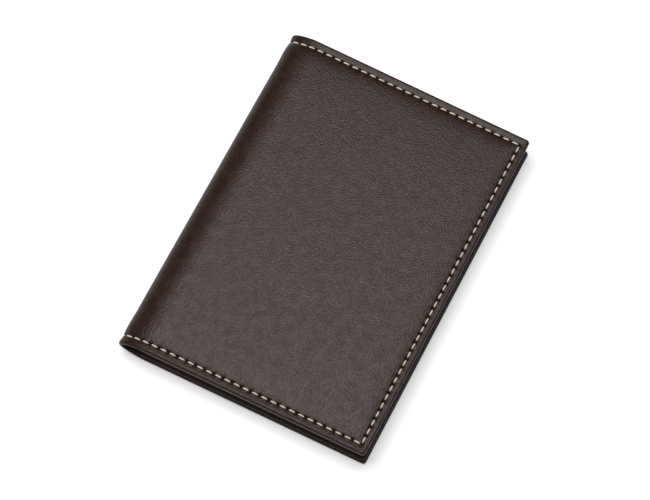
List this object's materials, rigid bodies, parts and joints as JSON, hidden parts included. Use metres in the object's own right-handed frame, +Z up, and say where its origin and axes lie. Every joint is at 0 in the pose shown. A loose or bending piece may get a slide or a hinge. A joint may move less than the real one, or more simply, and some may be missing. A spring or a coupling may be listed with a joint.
{
  "type": "passport holder",
  "caption": "Slim bifold passport holder in dark leather with turned edges, contrast stitching, two passport sleeves and stepped card pockets.",
  "frame": {"origin": "under the middle of the shut holder, on the flat outer face of the rear cover", "axes": "+X from the spine to the fore-edge, +Y from the tail to the head along the spine, +Z up through the shut covers"},
  "size_m": [0.1, 0.138, 0.013],
  "materials": {
    "cover_leather": "fine grain, semi-matte",
    "sleeve_leather": "fine grain, matte",
    "pocket_leather": "fine grain, skived, matte",
    "lining": "close plain weave",
    "board": "pressed fibre board",
    "infill": "non-woven felt",
    "seam_thread": "twisted polyester thread, cream",
    "fine_thread": "fine twisted polyester thread, cream"
  },
  "bodies": {
    "back_cover": {"rear_cover_leather": "cover_leather", "rear_board": "board", "rear_infill": "infill", "rear_lining": "lining", "rear_sleeve": "sleeve_leather", "rear_perimeter_stitches": "seam_thread", "rear_mouth_stitches": "fine_thread"},
    "spine": {"spine_leather": "cover_leather", "spine_infill": "infill", "spine_lining": "lining", "spine_stitches": "seam_thread"},
    "front_cover": {"front_cover_leather": "cover_leather", "front_board": "board", "front_infill": "infill", "front_lining": "lining", "front_sleeve": "sleeve_leather", "front_perimeter_stitches": "seam_thread", "front_mouth_stitches": "fine_thread", "card_pocket_lower": "pocket_leather", "card_pocket_middle": "pocket_leather", "card_pocket_upper": "pocket_leather", "card_backer_middle": "lining", "card_backer_upper": "lining", "card_pocket_stitches": "fine_thread"}
  },
  "joints": [
    {"name": "spine_fold", "type": "hinge", "parent": "back_cover", "child": "spine", "pos_m": [-0.04861, 0, 0.00139], "axis": [0, -1, 0], "range_deg": [0, 90]},
    {"name": "front_fold", "type": "hinge", "parent": "spine", "child": "front_cover", "pos_m": [-0.04861, 0, 0.01161], "axis": [0, -1, 0], "range_deg": [0, 90]}
  ],
  "couplings": [
    {"joint": "spine_fold", "follows": "front_fold", "ratio": 1}
  ]
}
